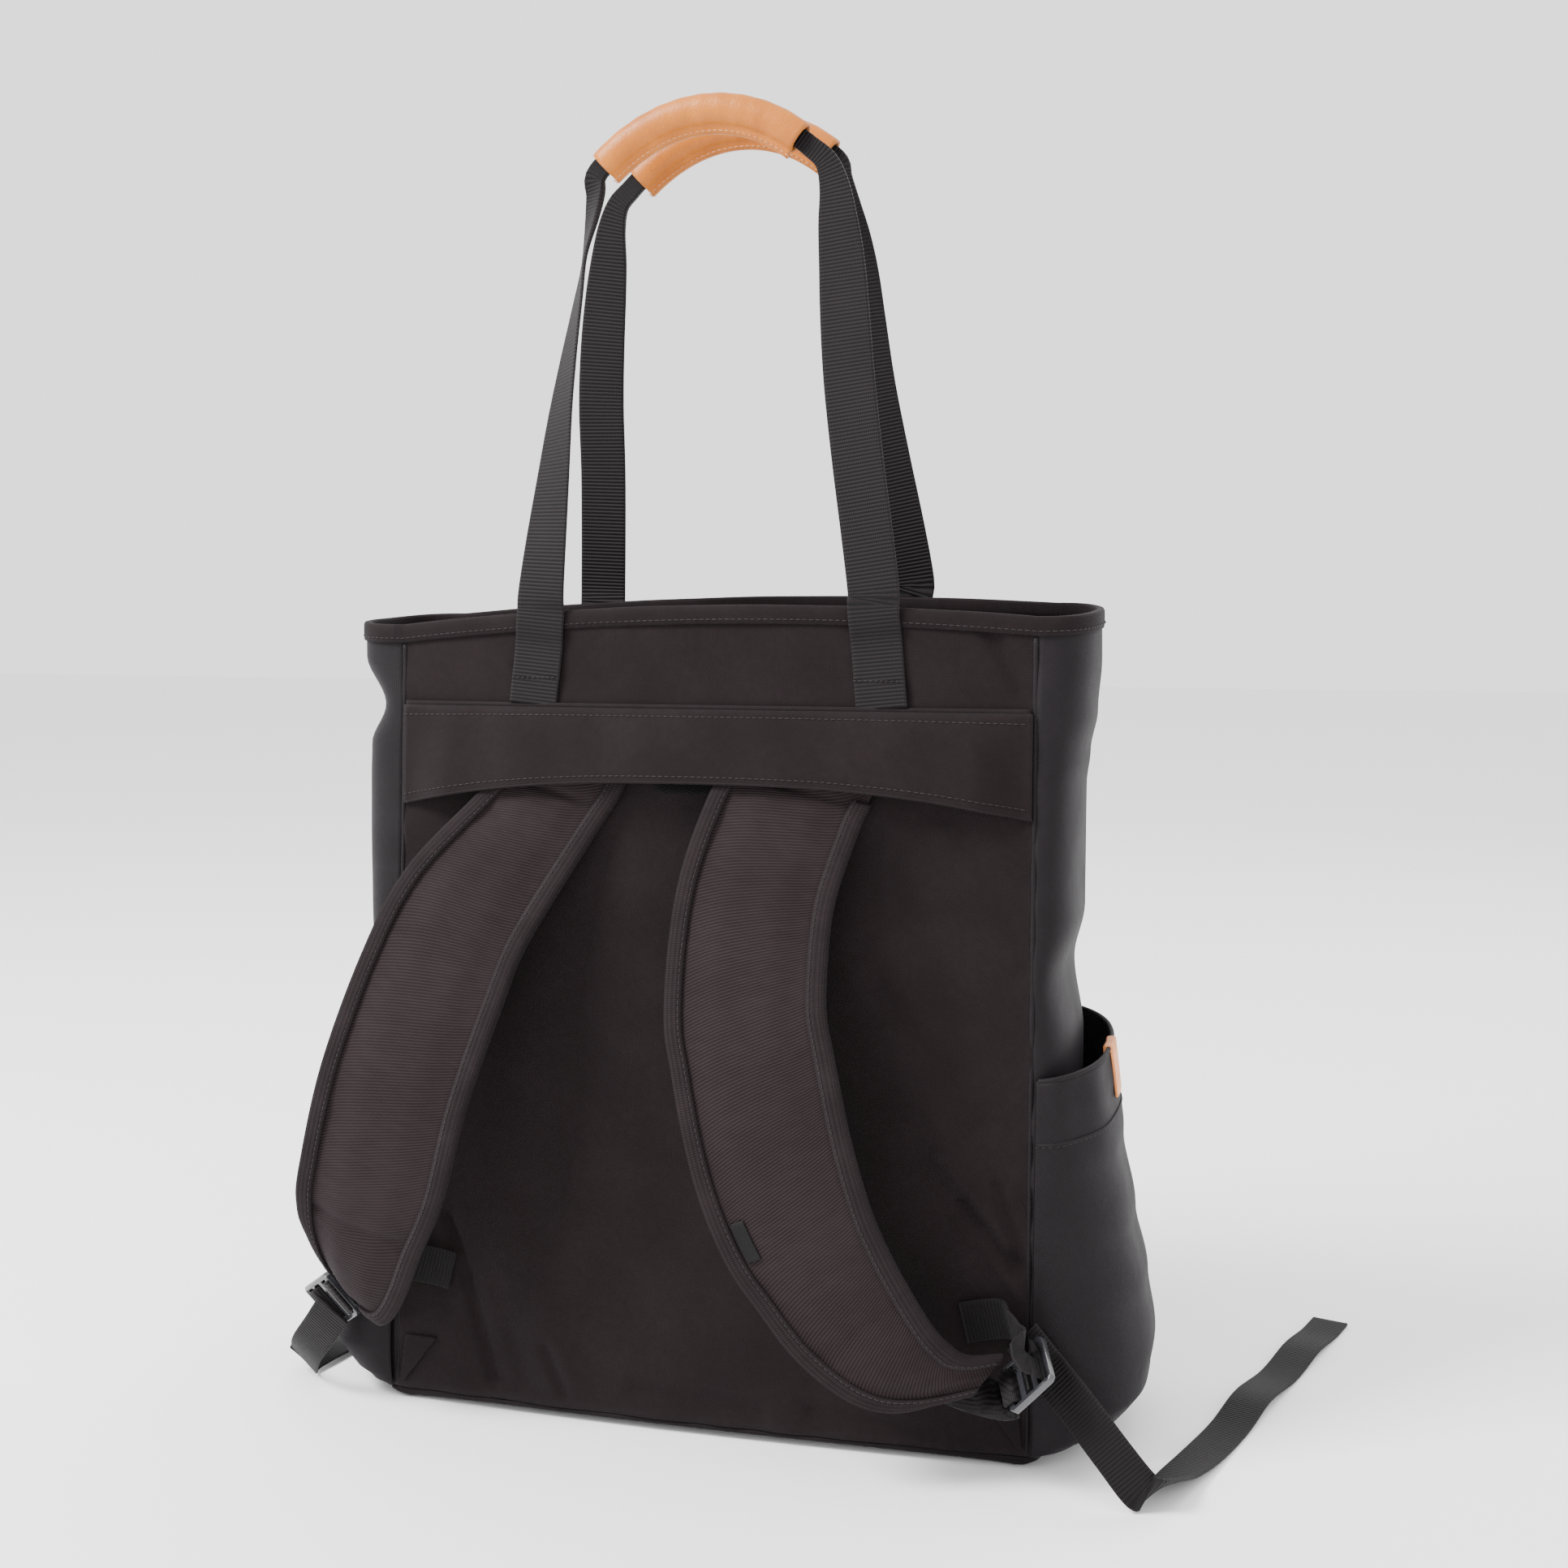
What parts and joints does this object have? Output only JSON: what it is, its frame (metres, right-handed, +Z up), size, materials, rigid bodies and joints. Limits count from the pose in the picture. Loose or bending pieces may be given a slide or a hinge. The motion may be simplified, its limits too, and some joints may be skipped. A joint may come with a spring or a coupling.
{
  "type": "convertible backpack",
  "caption": "Soft black tote with two long webbing handles in leather grips and padded shoulder straps on its back panel.",
  "frame": {"origin": "under the middle of the base, on the surface that the bag stands on", "axes": "+Z up towards the handles, +X along the back panel to the pocket with the leather tab, +Y from the back panel with the shoulder straps to the plain front panel"},
  "size_m": [0.5484, 0.3049, 0.6541],
  "materials": {
    "body_fabric": "matte woven nylon",
    "side_fabric": "matte woven nylon",
    "strap_fabric": "matte diagonal weave",
    "binding_tape": "ribbed tape",
    "webbing": "ribbed webbing",
    "leather": "smooth tan leather",
    "buckle_plastic": "moulded, glossy",
    "hook_tape": "hook tape",
    "label_tape": "plain satin weave"
  },
  "bodies": {
    "root": {"back_panel": "body_fabric", "front_panel": "body_fabric", "gusset_right": "side_fabric", "gusset_left": "side_fabric", "base_panel": "body_fabric", "rim_hem": "body_fabric", "yoke_band": "body_fabric", "closure_patch": "hook_tape", "closure_mate": "body_fabric", "side_pocket_right": "side_fabric", "side_pocket_left": "side_fabric", "pocket_tab": "leather", "shoulder_strap_right": "strap_fabric", "strap_binding_right_a": "binding_tape", "strap_binding_right_b": "binding_tape", "shoulder_strap_left": "strap_fabric", "strap_binding_left_a": "binding_tape", "strap_binding_left_b": "binding_tape", "strap_label": "label_tape", "ladder_lock_right": "buckle_plastic", "ladder_lock_left": "buckle_plastic", "buckle_loop_right": "webbing", "buckle_loop_left": "webbing", "strap_anchor_right": "webbing", "strap_anchor_left": "webbing", "adjuster_right": "webbing", "adjuster_left": "webbing", "corner_tab_right": "body_fabric", "corner_tab_left": "body_fabric", "handle_near": "webbing", "handle_far": "webbing", "grip_near": "leather", "grip_far": "leather"}
  },
  "joints": []
}
